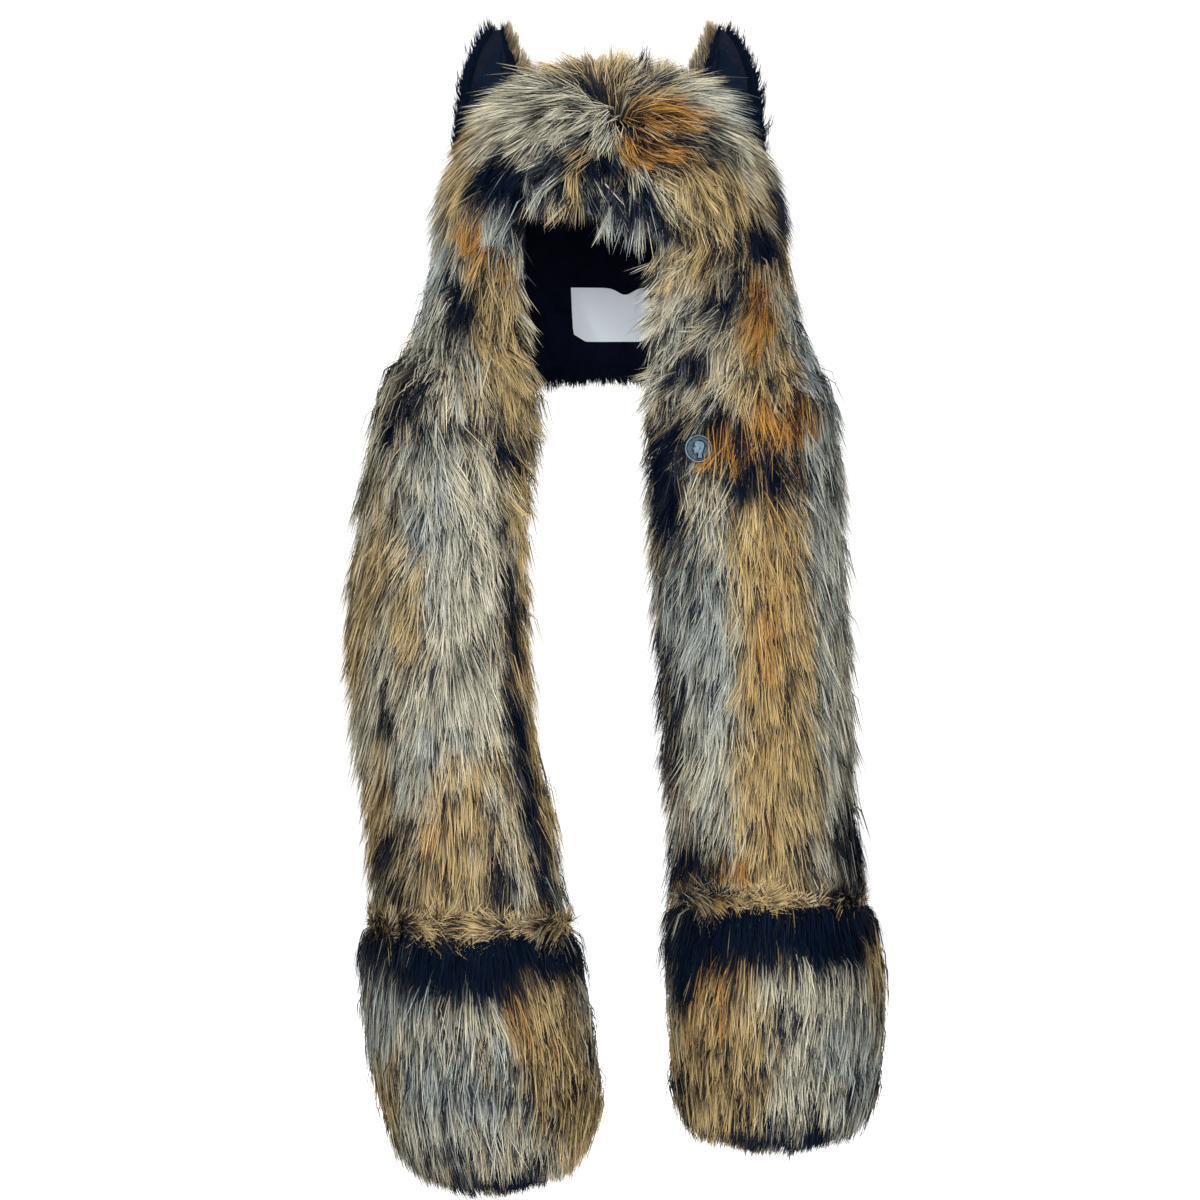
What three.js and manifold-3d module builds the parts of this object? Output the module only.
// A fur hooded scarf: a lined fur hood with two ears, and two long scarf ends that hang from
// the cheeks of the hood. Each scarf end finishes in a hand pocket, and a coin-style button
// sits on one of them. Units are millimetres. +Z is up, the face looks towards -Y, and the
// origin is the place inside the crown where the top of the head touches the lining.

import * as THREE from "three";
import Module from "manifold-3d";
import { mergeVertices } from "three/addons/utils/BufferGeometryUtils.js";

const wasm = await Module();
wasm.setup();

// Driving sizes of the cloth and the pile
const clearance = 0.7; // between pieces that lie on each other
const backingThickness = 3; // cloth that carries the long pile
const lockPitch = 37; // from one row of locks to the next
const lockOverlap = 13; // how far a lock's tip hangs over the next row

// Driving sizes of the hood
const hoodWidth = 226; // inside, at the foot of the domed part
const hemWidth = 284; // inside, at the neck hem
const hoodDepth = 214; // inside, from the brow to the back
const hoodHeight = 228; // inside, from the crown to the neck hem
const crownHeight = 98; // the domed part of that height
const hoodLining = 3;
const hoodPile = 27; // how far the combed pile stands off the hood's backing

// Driving sizes of the face opening
const faceWidth = 108; // over the pile
const faceShift = -13; // the opening sits off centre as the hood hangs
const faceSetBack = 7; // of the lining's edge behind the pile's edge, each side
const browDropLeft = 80; // from the crown down to each end of the lining's brow edge
const browDropRight = 102;
const browRise = 10; // how far the brow edge arches between its ends
const browFringe = 16; // how far the pile hangs past the lining's brow edge

// Driving sizes of the scarf ends
const scarfDrop = 418; // from the hem to the pocket mouth
const scarfWidth = 156; // over the pile
const scarfDepth = 42; // over the pile, off the lining
const scarfClothDepth = 14; // of the thickest cloth under the pile
const scarfSidePile = 18; // how far the pile stands out past the cloth's edge
const scarfLining = 4; // short-pile back
const scarfLiningHem = 2; // how far it shows past the cloth's edge
const scarfSpread = 120; // from the middle of the hood to the middle of a scarf end
const scarfSetBack = 15; // of the lining's front behind the hood's inside front
const scarfTurn = 14; // degrees that a scarf end faces outwards
const scarfCurve = 300; // radius of its gentle curve across
const mouthDepth = 12; // of the pile just above the pocket mouth, where a hand goes in

// Driving sizes of the pockets
const pocketWidth = 188; // over the pile
const pocketLength = 207; // over the pile
const handDepth = 42; // clear inside, at its fullest
const pocketLining = 2.5;
const pocketPile = 18;
const pocketSidePile = 13;
const pocketHem = 4; // how far the back panel shows past the pocket's cloth
const backFlare = 30; // height over which the back panel widens to the pocket

// Driving sizes of the ears
const earWidth = 76;
const earHeight = 108; // from the foot, which the pile hides, to the tip
const earBow = 12; // how far the ear's sides curl forwards
const earCloth = 4;
const earPile = 10;
const earPanel = 1.5;
const earPanelShare = 0.66; // of the ear's width
const earFoot = 45; // from the crown down to an ear's foot
const earReach = 92; // from the middle of the hood out to it
const earForward = 6; // in front of the hood's middle
const earLean = 2; // degrees, tip towards the middle
const earTurn = 20; // degrees, face turned outwards

// Driving sizes of the label and the button
const labelWidth = 70;
const labelHeight = 48;
const labelThickness = 0.8;
const labelStandOff = 0.8; // off the lining
const labelDrop = 162; // from the crown to the label's middle
const buttonDiameter = 21.6;
const buttonThickness = 2.2;
const buttonRimWidth = 1.2;
const buttonRimHeight = 0.5;
const buttonEdge = 0.25; // softened edge of the rim
const reliefHeight = 0.4;
const buttonRoomFlare = 4; // how much the dent in the pile widens outwards
const shankDiameter = 4;
const buttonStandOff = 31; // of the button's back off the lining
const shankSeat = 4; // of the shank's end off the lining
const buttonDrop = 53; // from the hem down to the button's middle
const buttonInset = 43; // from the middle of the scarf end towards its inner edge

// Facets
const hoodColumns = 36;
const hoodRings = 8;
const scarfColumns = 12;
const backColumns = 8;
const earColumns = 6;
const buttonSides = 24;

// The course of each scarf end down to its mouth, as the photograph shows it. at: share of
// scarfDrop. shift: share of scarfSpread. width: share of scarfWidth.
const scarfRows = {
  left: [
    { at: 0.0, shift: 1.0, width: 0.84 },
    { at: 0.15, shift: 1.08, width: 0.85 },
    { at: 0.3, shift: 1.13, width: 0.9 },
    { at: 0.45, shift: 1.14, width: 0.95 },
    { at: 0.6, shift: 1.09, width: 0.95 },
    { at: 0.75, shift: 1.0, width: 0.99 },
    { at: 0.87, shift: 0.95, width: 0.99 },
    { at: 1.0, shift: 0.91, width: 1.03 },
  ],
  right: [
    { at: 0.0, shift: 0.87, width: 0.95 },
    { at: 0.15, shift: 0.91, width: 1.0 },
    { at: 0.3, shift: 0.92, width: 1.0 },
    { at: 0.45, shift: 0.95, width: 1.0 },
    { at: 0.6, shift: 0.97, width: 1.0 },
    { at: 0.75, shift: 1.0, width: 1.0 },
    { at: 0.87, shift: 1.03, width: 1.0 },
    { at: 1.0, shift: 1.04, width: 1.03 },
  ],
};

// The same for each pocket. at: share of its length. shift: share of scarfSpread. width:
// share of pocketWidth. depth: share of handDepth.
const pocketRows = {
  left: [
    { at: 0.0, shift: 0.91, width: 0.91, depth: 0.92 },
    { at: 0.2, shift: 0.87, width: 0.97, depth: 1.0 },
    { at: 0.4, shift: 0.83, width: 1.01, depth: 1.0 },
    { at: 0.6, shift: 0.77, width: 1.02, depth: 0.96 },
    { at: 0.8, shift: 0.78, width: 1.0, depth: 0.86 },
    { at: 1.0, shift: 0.85, width: 0.98, depth: 0.75 },
  ],
  right: [
    { at: 0.0, shift: 1.04, width: 0.87, depth: 0.92 },
    { at: 0.2, shift: 1.08, width: 0.93, depth: 1.0 },
    { at: 0.4, shift: 1.09, width: 0.96, depth: 1.0 },
    { at: 0.6, shift: 1.08, width: 0.97, depth: 0.96 },
    { at: 0.8, shift: 1.08, width: 0.97, depth: 0.86 },
    { at: 1.0, shift: 1.12, width: 0.97, depth: 0.75 },
  ],
};

// What differs between the two sides. sign: the way out from the middle. drop: share of
// scarfDrop. length: share of pocketLength. roundFrom: where its end rounds off.
const ends = {
  left: { sign: -1, drop: 1.024, length: 1.034, roundFrom: 0.62 },
  right: { sign: 1, drop: 0.976, length: 0.966, roundFrom: 0.68 },
};

// Helpers for numbers

const { clamp, degToRad, smoothstep } = THREE.MathUtils;
const mix = (a, b, share) => a + (b - a) * share;
const steps = (count) => Array.from({ length: count + 1 }, (_, i) => i / count);

// A smooth value of one column of a table, at a share along it.
function column(rows, at, name) {
  let i = 0;
  while (i < rows.length - 2 && rows[i + 1].at < at) i += 1;
  const slope = (k) => {
    const a = rows[Math.max(k - 1, 0)];
    const b = rows[Math.min(k + 1, rows.length - 1)];
    return (b[name] - a[name]) / (b.at - a.at);
  };
  const span = rows[i + 1].at - rows[i].at;
  const t = clamp((at - rows[i].at) / span, 0, 1);
  const t2 = t * t;
  const t3 = t2 * t;
  return (
    (2 * t3 - 3 * t2 + 1) * rows[i][name] +
    (t3 - 2 * t2 + t) * span * slope(i) +
    (3 * t2 - 2 * t3) * rows[i + 1][name] +
    (t3 - t2) * span * slope(i + 1)
  );
}

// A number from 0 to 1 that looks random but is the same each time.
function scatter(row, place) {
  const n = Math.sin(row * 12.9898 + place * 78.233) * 43758.5453;
  return n - Math.floor(n);
}

// A power that keeps its sign, for rounded-box outlines.
const bend = (value, power) => Math.sign(value) * Math.abs(value) ** power;

// Helpers for solids

// The triangles that fill a level ring, each in the ring's own turning direction.
function fill(ring) {
  const flat = ring.map((p) => new THREE.Vector2(p.x, p.y));
  const whole = THREE.ShapeUtils.area(flat);
  return THREE.ShapeUtils.triangulateShape(flat, []).map(([a, b, c]) => {
    const area = THREE.ShapeUtils.area([flat[a], flat[b], flat[c]]);
    return area * whole > 0 ? [a, b, c] : [a, c, b];
  });
}

// A closed solid through rings of points. An end ring whose points all meet is a pole, and
// any other end ring is filled.
function loft(rings) {
  const count = rings[0].length;
  const faces = [];
  for (let i = 0; i + 1 < rings.length; i += 1) {
    for (let j = 0; j < count; j += 1) {
      const a = i * count + j;
      const b = i * count + ((j + 1) % count);
      faces.push([a, b, b + count], [a, b + count, a + count]);
    }
  }
  const last = (rings.length - 1) * count;
  const isPole = (ring) => ring.every((p) => p.distanceTo(ring[0]) < 1e-6);
  if (!isPole(rings[0])) faces.push(...fill(rings[0]).map(([a, b, c]) => [a, c, b]));
  if (!isPole(rings.at(-1))) {
    faces.push(...fill(rings.at(-1)).map((face) => face.map((k) => k + last)));
  }
  const geometry = new THREE.BufferGeometry().setFromPoints(rings.flat());
  geometry.setIndex(faces.flat());
  return solidFrom(geometry);
}

// A manifold-3d solid from a closed geometry, turned right side out if need be.
function solidFrom(geometry) {
  const plain = geometry.clone();
  for (const name of ["normal", "uv"]) plain.deleteAttribute(name);
  const merged = mergeVertices(plain, 1e-4);
  const place = merged.attributes.position;
  const at = (k) => new THREE.Vector3().fromBufferAttribute(place, k);
  const faces = [];
  let volume = 0;
  for (let i = 0; i < merged.index.count; i += 3) {
    const [a, b, c] = [0, 1, 2].map((k) => merged.index.getX(i + k));
    if (a === b || b === c || c === a) continue;
    faces.push([a, b, c]);
    volume += at(a).dot(at(b).cross(at(c)));
  }
  const outward = volume > 0 ? faces : faces.map(([a, b, c]) => [a, c, b]);
  return new wasm.Manifold(
    new wasm.Mesh({
      numProp: 3,
      vertProperties: new Float32Array(place.array),
      triVerts: new Uint32Array(outward.flat()),
    }),
  );
}

// The biggest body of a solid, without the crumbs that a cut leaves.
function largest(solid) {
  const bodies = solid.decompose();
  return bodies.reduce((best, body) => (body.volume() > best.volume() ? body : best));
}

// A solid as a named mesh in its own colour.
function piece(name, solid, colour, roughness, metalness = 0) {
  const made = largest(solid).getMesh();
  const geometry = new THREE.BufferGeometry();
  geometry.setAttribute("position", new THREE.BufferAttribute(made.vertProperties, 3));
  geometry.setIndex(new THREE.BufferAttribute(made.triVerts, 1));
  const material = new THREE.MeshStandardMaterial({ color: colour, roughness, metalness });
  const mesh = new THREE.Mesh(geometry, material);
  mesh.name = name;
  return mesh;
}

// Rings of a pile in overlapping rows of pointed locks. point(run, across, level) gives a
// place, where level 0 is the cloth and level 1 is the pile's outer form. back(run) gives
// the points that close each ring behind, and a pile that goes all round has none.
function lockRings({ point, back, from, to, columns, pitch, overlap }) {
  const rootLevel = 0.5;
  const crownLevel = 0.95; // where a pile that goes all round starts from its whorl
  const edgeStep = pitch * 0.08; // a tip at the piece's edge stops this short of the next
  const rows = Math.max(2, Math.round((to - from) / pitch));
  const across = back ? steps(columns) : steps(columns).slice(0, -1);
  const close = back ?? (() => []);
  const rings = [];
  for (let k = 0; k < rows; k += 1) {
    const start = mix(from, to, k / rows);
    const end = mix(from, to, (k + 1) / rows);
    const lastRow = k === rows - 1;
    const level = k === 0 && !back ? crownLevel : rootLevel;
    rings.push([...across.map((a) => point(start, a, level)), ...close(start)]);
    const tips = across.map((a, j) => {
      const fade = lastRow ? 0 : back ? Math.sin(Math.PI * a) : 1;
      const long = (j + k) % 2 === 0;
      const loose = scatter(k + 1, j + 1);
      const reach = overlap * (long ? mix(0.8, 1.15, loose) : mix(0.1, 0.3, loose));
      const level = long ? mix(0.92, 1, loose) : mix(0.76, 0.86, loose);
      return point(end + mix(-edgeStep, reach, fade), a, level);
    });
    rings.push([...tips, ...close((start + end) / 2)]);
  }
  rings.push([...across.map((a) => point(to, a, rootLevel)), ...close(to)]);
  return rings;
}

// The hood's form

const clothOff = hoodLining + clearance; // inner face of the fur's backing
const pileOff = clothOff + backingThickness; // where the pile stands

// A place on the hood. drop is the height below the crown, round is a share of a turn from
// the front, and off is the distance outside the lining's inner face.
function hoodPoint(drop, round, off) {
  const angle = round * 2 * Math.PI;
  const below = clamp((drop - crownHeight) / (hoodHeight - crownHeight), 0, 1);
  const dome = Math.min(drop / crownHeight, 1);
  const spread = (1 - (1 - dome) ** 2.1) ** (1 / 2.1);
  const wide = mix(hoodWidth, hemWidth, below) / 2;
  const square = Math.cos(angle) > 0 ? mix(1, 0.6, smoothstep(drop, 0, hoodHeight)) : 1;
  return new THREE.Vector3(
    (wide + off) * spread * bend(Math.sin(angle), square),
    -(hoodDepth / 2 + off) * spread * bend(Math.cos(angle), square),
    off * (1 - dome) - drop,
  );
}

// The drops at which even steps along the hood's side fall.
const hoodLine = (() => {
  const line = [{ run: 0, drop: 0 }];
  for (const share of steps(240).slice(1)) {
    const drop = hoodHeight * share ** 2;
    const before = line.at(-1);
    const step = hoodPoint(drop, 0.25, 0).distanceTo(hoodPoint(before.drop, 0.25, 0));
    line.push({ run: before.run + step, drop });
  }
  return line;
})();
const hoodRun = hoodLine.at(-1).run;

function dropAt(run) {
  if (run <= 0) return 0;
  if (run >= hoodRun) return hoodHeight;
  const i = hoodLine.findIndex((row) => row.run > run);
  const [a, b] = [hoodLine[i - 1], hoodLine[i]];
  return mix(a.drop, b.drop, (run - a.run) / (b.run - a.run));
}

const around = steps(hoodColumns).slice(0, -1);

// One face of the hood as rings from crown to hem.
function hoodFace(off) {
  return steps(hoodRings).map((share) =>
    around.map((round) => hoodPoint(dropAt(hoodRun * share), round, off)),
  );
}

// Everything inside a face of the hood, down past the hem.
function hoodBlock(off) {
  const face = hoodFace(off);
  return loft([...face, face.at(-1).map((p) => p.clone().setZ(p.z - hoodHeight))]);
}

// A block that cuts the face opening, moved in at the sides by inset and let down by fringe.
function faceCutter(inset, fringe) {
  const left = faceShift - faceWidth / 2 - inset;
  const right = faceShift + faceWidth / 2 + inset;
  const middle = (browDropLeft + browDropRight) / 2;
  const shape = new THREE.Shape();
  shape.moveTo(left, -2 * hoodHeight);
  shape.lineTo(left, -browDropLeft - fringe);
  shape.quadraticCurveTo(faceShift, 2 * browRise - middle - fringe, right, -browDropRight - fringe);
  shape.lineTo(right, -2 * hoodHeight);
  shape.closePath();
  const cutter = new THREE.ExtrudeGeometry(shape, {
    depth: hoodDepth,
    bevelEnabled: false,
    curveSegments: 8,
  });
  cutter.rotateX(Math.PI / 2);
  return solidFrom(cutter);
}

// The scarf ends' form

const mouthDrop = (side) => hoodHeight + scarfDrop * ends[side].drop;
const scarfStart = hoodHeight + clearance;

// How far from the middle of the hood the middle of a scarf end or a pocket hangs.
function shiftAt(side, drop) {
  const mouth = mouthDrop(side);
  const scarfShare = (drop - hoodHeight) / (mouth - hoodHeight);
  const pocketShare = (drop - mouth) / (pocketLength * ends[side].length);
  return drop < mouth
    ? scarfSpread * column(scarfRows[side], scarfShare, "shift")
    : scarfSpread * column(pocketRows[side], pocketShare, "shift");
}

// A place by its scarf end: out is towards the outer edge along the curve of the cloth, and
// off is the distance in front of the lining.
function scarfPlace(side, drop, out, off) {
  const turn = degToRad(scarfTurn);
  const here = turn + out / scarfCurve;
  const x = (scarfCurve + off) * Math.sin(here) - scarfCurve * Math.sin(turn);
  const y = scarfCurve * Math.cos(turn) - (scarfCurve + off) * Math.cos(here);
  return new THREE.Vector3(
    ends[side].sign * (shiftAt(side, drop) + x),
    y - hoodDepth / 2 + scarfSetBack,
    -drop,
  );
}

// Half the width of a scarf end over the pile.
function scarfHalf(side, drop) {
  const share = (drop - hoodHeight) / (mouthDrop(side) - hoodHeight);
  return (scarfWidth * column(scarfRows[side], clamp(share, 0, 1), "width")) / 2;
}

// A rounded arch: share of the half width and of the depth, from edge to edge.
function arch(across) {
  const angle = Math.PI * (1 - across);
  return { out: bend(Math.cos(angle), 0.75), off: Math.abs(Math.sin(angle)) ** 0.75 };
}

// The points behind a ring, from its outer edge to its inner edge.
function backLine(side, drop, half, off) {
  return steps(backColumns).map((share) =>
    scarfPlace(side, drop, mix(half, -half, share), off),
  );
}

function scarfFur(side) {
  const mouth = mouthDrop(side) - clearance;
  const point = (drop, across, level) => {
    const { out, off } = arch(across);
    const wide = scarfHalf(side, drop) - scarfSidePile * (1 - level);
    const open = smoothstep(drop, mouth - 2 * lockPitch, mouth);
    const full = mix(scarfDepth, mouthDepth, open);
    const cloth = Math.min(scarfClothDepth, full * 0.6);
    return scarfPlace(side, drop, out * wide, clearance + off * mix(cloth, full, level));
  };
  const back = (drop) =>
    backLine(side, drop, scarfHalf(side, drop) - scarfSidePile, clearance);
  return loft(
    lockRings({
      point,
      back,
      from: scarfStart,
      to: mouth,
      columns: scarfColumns,
      pitch: lockPitch,
      overlap: lockOverlap,
    }),
  );
}

// The pockets' form

// What is left of a pocket's width at a share of its length.
function rounding(side, at) {
  const share = clamp((at - ends[side].roundFrom) / (1 - ends[side].roundFrom), 0, 0.985);
  return (1 - share ** 1.8) ** (1 / 1.8);
}

const pocketWall = pocketLining + clearance + backingThickness;
const pocketInnerLength = (side) =>
  pocketLength * ends[side].length - pocketWall - pocketSidePile;

// A pocket's clear inside at a share of its length: half width and depth.
function pocketInside(side, at) {
  const round = rounding(side, at);
  const full = (pocketWidth * column(pocketRows[side], at, "width")) / 2;
  return {
    half: (full - pocketWall - pocketSidePile) * round,
    depth: handDepth * column(pocketRows[side], at, "depth") * round ** 0.8,
  };
}

// Shares of a pocket's length at which its rings lie, closer together where it rounds off.
const pocketShares = [0, 0.2, 0.4, 0.6, 0.72, 0.82, 0.9, 0.96, 1];

// A solid with the pocket's form, grown by a wall, with its arch starting at a distance off
// the lining and its back at another. above lets it stand up past the mouth.
function pocketForm(side, { grow, from, back = from, above = 0 }) {
  const ring = (at, drop) => {
    const { half, depth } = pocketInside(side, at);
    const front = steps(scarfColumns).map((across) => {
      const { out, off } = arch(across);
      const reach = pocketLining + clearance + depth + grow - from;
      return scarfPlace(side, drop, out * (half + grow), from + off * reach);
    });
    const behind = backLine(side, drop, half + grow, back);
    return [...front, ...(back === from ? behind.slice(1, -1) : behind)];
  };
  const rings = pocketShares.map((at) =>
    ring(at, mouthDrop(side) + at * (pocketInnerLength(side) + grow)),
  );
  if (above > 0) rings.unshift(ring(0, mouthDrop(side) - above));
  return loft(rings);
}

function pocketFur(side) {
  const mouth = mouthDrop(side);
  const length = pocketInnerLength(side) + pocketWall + pocketSidePile;
  const cloth = pocketInnerLength(side) + pocketWall;
  const seat = 2 * clearance;
  // How long the pocket is at a level of the pile, with its last ring level all round.
  const reach = (at, level) => mix(mix(cloth, length, level), length, at ** 6);
  const point = (run, across, level) => {
    const at = clamp(run / length, 0, 1);
    const { out, off } = arch(across);
    const { half, depth } = pocketInside(side, at);
    const wide = half + pocketWall + level * pocketSidePile;
    const deep = pocketLining + depth + pocketWall + level * pocketPile;
    const drop = mouth + at * reach(at, level);
    return scarfPlace(side, drop, out * wide, seat + off * deep);
  };
  const back = (run) => {
    const at = clamp(run / length, 0, 1);
    const { half } = pocketInside(side, at);
    const drop = mouth + at * reach(at, 0.4);
    return backLine(side, drop, half + pocketWall, seat);
  };
  const rings = lockRings({
    point,
    back,
    from: 0,
    to: length,
    columns: scarfColumns,
    pitch: lockPitch,
    overlap: lockOverlap,
  });
  const hollow = pocketForm(side, {
    grow: pocketLining + clearance,
    from: clearance,
    back: -clearance,
    above: lockPitch,
  });
  return loft(rings).subtract(hollow);
}

function pocketPouch(side) {
  const outer = pocketForm(side, { grow: pocketLining, from: clearance });
  const inner = { grow: 0, from: clearance + pocketLining, above: lockPitch };
  return outer.subtract(pocketForm(side, inner));
}

// The back of a scarf end, which runs on down behind its pocket.
function scarfBack(side) {
  const mouth = mouthDrop(side);
  const length = pocketInnerLength(side) + pocketWall + pocketHem;
  const ring = (drop, half) => {
    const front = backLine(side, drop, half, 0);
    return [...front, ...backLine(side, drop, half, -scarfLining).reverse()];
  };
  const scarfWide = (drop) => scarfHalf(side, drop) - scarfSidePile + scarfLiningHem;
  const pocketWide = (at) => pocketInside(side, at).half + pocketWall + pocketHem;
  const upper = steps(8).map((share) => mix(scarfStart, mouth - backFlare, share));
  return loft([
    ...upper.map((drop) => ring(drop, scarfWide(drop))),
    ...pocketShares.map((at) => ring(mouth + at * length, pocketWide(at))),
  ]);
}

// The ears' form

// Half the width of an ear at a share of its height.
const earHalf = (share) => (earWidth / 2) * (1 - Math.min(share, 0.995) ** 3) ** 0.6;

// A place by its ear: rise is up from the foot, out is towards the outer side, and off is
// behind the ear's front face, which curls forwards towards both sides.
function earPlace(side, rise, out, off) {
  const { sign } = ends[side];
  const turn = degToRad(earTurn);
  const depth = off - earBow * (out / (earWidth / 2)) ** 2;
  const lean = rise * Math.tan(degToRad(earLean));
  return new THREE.Vector3(
    sign * (earReach - lean + out * Math.cos(turn) - depth * Math.sin(turn)),
    depth * Math.cos(turn) + out * Math.sin(turn) - earForward,
    rise - earFoot,
  );
}

function earLine(side, rise, half, off) {
  return steps(earColumns).map((share) =>
    earPlace(side, rise, mix(half, -half, share), off),
  );
}

function earBody(side) {
  const point = (rise, across, level) => {
    const { out, off } = arch(across);
    const share = clamp(rise / earHeight, 0, 1);
    const half = earHalf(share) * mix(0.84, 1, level);
    const thick = earCloth + earPile * level * mix(0.5, 1, earHalf(share) / (earWidth / 2));
    return earPlace(side, clamp(rise, 0, earHeight), out * half, off * thick);
  };
  const back = (rise) => earLine(side, rise, earHalf(rise / earHeight) * 0.84, 0);
  return loft(
    lockRings({
      point,
      back,
      from: 0,
      to: earHeight,
      columns: earColumns,
      pitch: earHeight / 5,
      overlap: earHeight / 20,
    }),
  );
}

// The space that an ear needs, for the cut in the hood's pile.
function earSpace(side) {
  const ahead = -(2 * clearance + earPanel);
  const rings = steps(8).map((share) => {
    const rise = mix(-2 * clearance, earHeight + clearance, share);
    const half = earHalf(share) + clearance;
    const behind = steps(earColumns).map((across) => {
      const { out, off } = arch(across);
      return earPlace(side, rise, out * half, off * (earCloth + earPile + clearance));
    });
    return [...behind, ...earLine(side, rise, half, ahead).slice(1, -1)];
  });
  return loft(rings);
}

function earInside(side) {
  const rings = steps(6).map((share) => {
    const at = mix(0.06, 0.84, share);
    const half = earHalf(at) * earPanelShare * (1 - share ** 3 * 0.85);
    const rise = at * earHeight;
    return [
      ...earLine(side, rise, half, -clearance),
      ...earLine(side, rise, half, -clearance - earPanel).reverse(),
    ];
  });
  return loft(rings);
}

// The label and the button

function neckLabel() {
  const half = labelWidth / 2 / hoodPoint(labelDrop, 0.25, 0).x / (2 * Math.PI);
  const near = -labelStandOff - labelThickness;
  const rings = steps(2).map((share) => {
    const drop = labelDrop + labelHeight * (share - 0.5);
    const line = (off) => steps(8).map((s) => hoodPoint(drop, 0.5 + mix(-half, half, s), off));
    return [...line(-labelStandOff), ...line(near).reverse()];
  });
  return loft(rings);
}

// A head in profile of plain proportions, as coins carry, one unit from chin to crown.
function profileShape() {
  const shape = new THREE.Shape();
  shape.moveTo(-0.3, 0.52);
  shape.lineTo(-0.345, 0.36);
  shape.lineTo(-0.4, 0.3);
  shape.lineTo(-0.33, 0.265);
  shape.lineTo(-0.335, 0.17);
  shape.lineTo(-0.3, 0.12);
  shape.quadraticCurveTo(-0.33, 0.02, -0.24, 0.0);
  shape.lineTo(-0.06, 0.07);
  shape.lineTo(-0.04, -0.2);
  shape.lineTo(0.3, -0.24);
  shape.quadraticCurveTo(0.2, 0.1, 0.34, 0.3);
  shape.bezierCurveTo(0.5, 0.55, 0.42, 0.95, 0.08, 1.0);
  shape.bezierCurveTo(-0.2, 1.02, -0.36, 0.8, -0.3, 0.52);
  return shape;
}

// The button lies face up at its own origin, with its shank below.
function coin() {
  const outer = buttonDiameter / 2;
  const inner = outer - buttonRimWidth;
  const top = buttonThickness;
  const field = buttonThickness - buttonRimHeight;
  const disc = new THREE.LatheGeometry(
    [
      [0, 0],
      [outer - buttonEdge, 0],
      [outer, buttonEdge],
      [outer, top - buttonEdge],
      [outer - buttonEdge, top],
      [inner + buttonEdge, top],
      [inner, field],
      [0, field],
    ].map(([r, h]) => new THREE.Vector2(r, h)),
    buttonSides,
  );
  disc.rotateX(Math.PI / 2);
  const headHeight = inner * 1.25;
  const head = new THREE.ExtrudeGeometry(profileShape(), {
    depth: reliefHeight + 0.2,
    bevelEnabled: false,
    curveSegments: 4,
  });
  head.scale(headHeight, headHeight, 1);
  head.translate(0, -headHeight * 0.42, field - 0.2);
  const length = buttonStandOff - shankSeat;
  const shank = new THREE.CylinderGeometry(shankDiameter / 2, shankDiameter / 2, length, 12);
  shank.rotateX(Math.PI / 2);
  shank.translate(0, 0, 0.1 - length / 2);
  return solidFrom(disc).add(solidFrom(head)).add(solidFrom(shank));
}

// The room for the button in the pile, with a narrower room for its shank.
function buttonRoom() {
  const wide = buttonDiameter / 2 + 2 * clearance;
  const narrow = shankDiameter / 2 + clearance;
  const deep = buttonStandOff - shankSeat + clearance;
  const room = new THREE.LatheGeometry(
    [
      [0, -deep],
      [narrow, -deep],
      [narrow, -clearance],
      [wide, -clearance],
      [wide + buttonRoomFlare, scarfDepth],
      [0, scarfDepth],
    ].map(([r, h]) => new THREE.Vector2(r, h)),
    buttonSides,
  );
  room.rotateX(Math.PI / 2);
  return solidFrom(room);
}

// Turns and moves a solid from its own origin to the button's place.
function atButton(solid) {
  const drop = hoodHeight + buttonDrop;
  const base = scarfPlace("right", drop, -buttonInset, buttonStandOff);
  const ahead = scarfPlace("right", drop, -buttonInset, buttonStandOff + 1);
  const facing = ahead.sub(base);
  const up = new THREE.Vector3(0, 0, 1);
  const across = up.clone().cross(facing);
  const place = new THREE.Matrix4().makeBasis(across, up, facing).setPosition(base);
  return solid.transform(place.elements);
}

// The pieces

const pouchColour = 0x1b1d29;
const object = new THREE.Group();

const earRooms = ["left", "right"].map((side) => earSpace(side).subtract(hoodBlock(pileOff)));
const hoodShell = loft([
  ...lockRings({
    point: (run, round, level) =>
      hoodPoint(dropAt(run), round, pileOff + hoodPile * level),
    from: 0,
    to: hoodRun,
    columns: hoodColumns,
    pitch: lockPitch,
    overlap: lockOverlap,
  }),
  ...hoodFace(clothOff).reverse(),
]);
const hoodFur = earRooms.reduce((fur, room) => fur.subtract(room), hoodShell);
object.add(piece("hood_fur", hoodFur.subtract(faceCutter(0, browFringe)), 0xa89880, 0.9));

const liningShell = loft([...hoodFace(hoodLining), ...hoodFace(0).reverse()]);
object.add(
  piece("hood_lining", liningShell.subtract(faceCutter(faceSetBack, 0)), pouchColour, 0.95),
);
object.add(piece("neck_label", neckLabel(), 0xf2f0ea, 0.8));

for (const side of ["left", "right"]) {
  const onBacking = hoodBlock(pileOff + clearance);
  const button = side === "right" ? scarfFur(side).subtract(atButton(buttonRoom())) : null;
  object.add(
    piece(`ear_${side}_fur`, earBody(side).subtract(onBacking), 0x9c7d5c, 0.9),
    piece(`ear_${side}_panel`, earInside(side).subtract(onBacking), 0x20232e, 0.6),
    piece(`scarf_${side}_fur`, button ?? scarfFur(side), 0xb0977a, 0.9),
    piece(`scarf_${side}_lining`, scarfBack(side), pouchColour, 0.95),
    piece(`pocket_${side}_fur`, pocketFur(side), 0x8f7a66, 0.9),
    piece(`pocket_${side}_lining`, pocketPouch(side), pouchColour, 0.95),
  );
}
object.add(piece("coin_button", atButton(coin()), 0x8d949c, 0.4, 1));

export default object;
